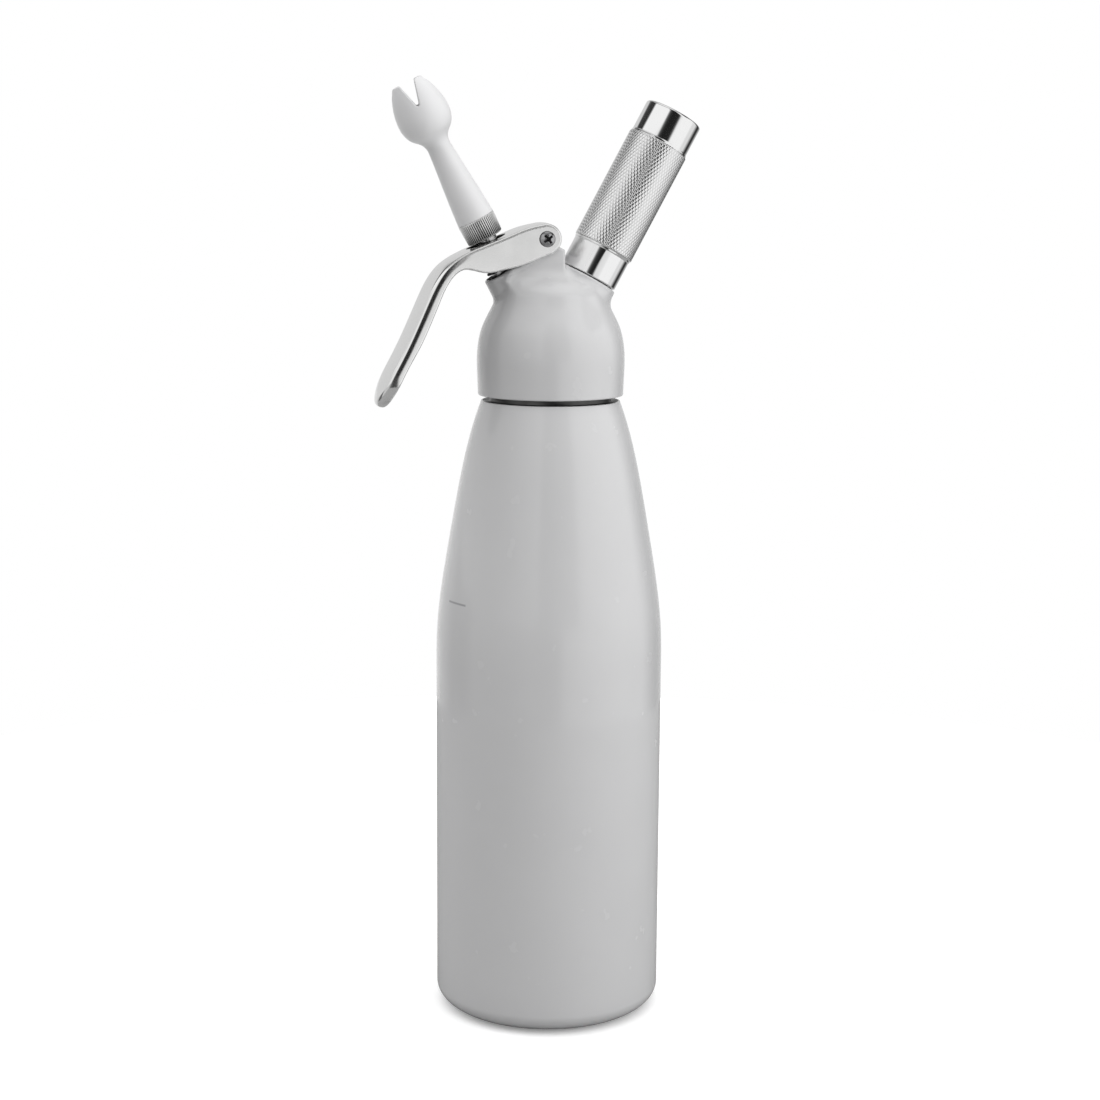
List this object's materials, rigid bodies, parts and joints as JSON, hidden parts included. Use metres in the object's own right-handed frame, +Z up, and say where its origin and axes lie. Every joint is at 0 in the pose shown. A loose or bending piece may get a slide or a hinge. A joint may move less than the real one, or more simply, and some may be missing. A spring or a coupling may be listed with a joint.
{
  "type": "whipped cream dispenser",
  "caption": "Pressure bottle with a screw-on head, squeeze lever, tilted dispensing valve with a tulip decorating tip, and a knurled holder for a gas cartridge.",
  "frame": {"origin": "centre of the bottle's base, on the surface the dispenser stands on", "axes": "+Z up along the bottle's axis, +X towards the gas charger holder, -X towards the nozzle and lever, Y across"},
  "size_m": [0.1206, 0.085, 0.3492],
  "materials": {
    "white_paint": "gloss",
    "polished_metal": "polished",
    "bright_chrome": "mirror",
    "turned_steel": "turned",
    "cartridge_steel": "satin",
    "brass_turned": "turned",
    "tip_plastic": "satin",
    "inner_plastic": "matt",
    "silicone": "matt"
  },
  "bodies": {
    "bottle": {"bottle": "white_paint"},
    "neck_seal": {"head_gasket": "silicone"},
    "head": {"head": "white_paint", "pivot_bush": "turned_steel", "pivot_screws": "bright_chrome", "stem_seal": "silicone", "stem_guide": "inner_plastic", "valve_spring": "turned_steel", "charger_inlet": "turned_steel", "piercing_pin": "turned_steel", "inlet_seal": "silicone", "check_nipple": "brass_turned", "check_sleeve": "silicone"},
    "lever": {"lever": "polished_metal"},
    "valve": {"piston": "turned_steel", "valve_seal": "silicone", "spring_cap": "turned_steel"},
    "tip": {"tip_collar": "turned_steel", "decorator_tip": "tip_plastic"},
    "charger": {"gas_charger": "cartridge_steel"},
    "holder": {"charger_holder": "bright_chrome"}
  },
  "joints": [
    {"name": "head_lift", "type": "slide", "parent": "bottle", "child": "neck_seal", "axis": [0, 0, 1], "range_m": [0, 0.0105]},
    {"name": "head_unscrew", "type": "hinge", "parent": "neck_seal", "child": "head", "pos_m": [0, 0, 0.234], "axis": [0, 0, 1], "range_deg": [0, 1260]},
    {"name": "lever_squeeze", "type": "hinge", "parent": "head", "child": "lever", "pos_m": [-0.0038, 0, 0.2913], "axis": [0, -1, 0], "range_deg": [0, 8], "stiffness_Nm_per_rad": 0.675, "springref_deg": -15.6},
    {"name": "valve_stroke", "type": "slide", "parent": "head", "child": "valve", "axis": [0.4641, 0, -0.8858], "range_m": [0, 0.00257], "deforming": ["valve_spring"]},
    {"name": "tip_unscrew", "type": "hinge", "parent": "valve", "child": "tip", "pos_m": [-0.02446, 0, 0.29115], "axis": [-0.4641, 0, 0.8858], "range_deg": [0, 720]},
    {"name": "holder_lift", "type": "slide", "parent": "head", "child": "charger", "axis": [0.4759, 0, 0.8795], "range_m": [0, 0.01]},
    {"name": "holder_unscrew", "type": "hinge", "parent": "charger", "child": "holder", "pos_m": [0.01372, 0, 0.27735], "axis": [0.4759, 0, 0.8795], "range_deg": [0, 2400]}
  ],
  "couplings": [
    {"joint": "head_unscrew", "follows": "head_lift", "rad_per_m": 2094.4},
    {"joint": "lever_squeeze", "follows": "valve_stroke", "rad_per_m": 54.43},
    {"joint": "holder_unscrew", "follows": "holder_lift", "rad_per_m": 4188.8}
  ]
}
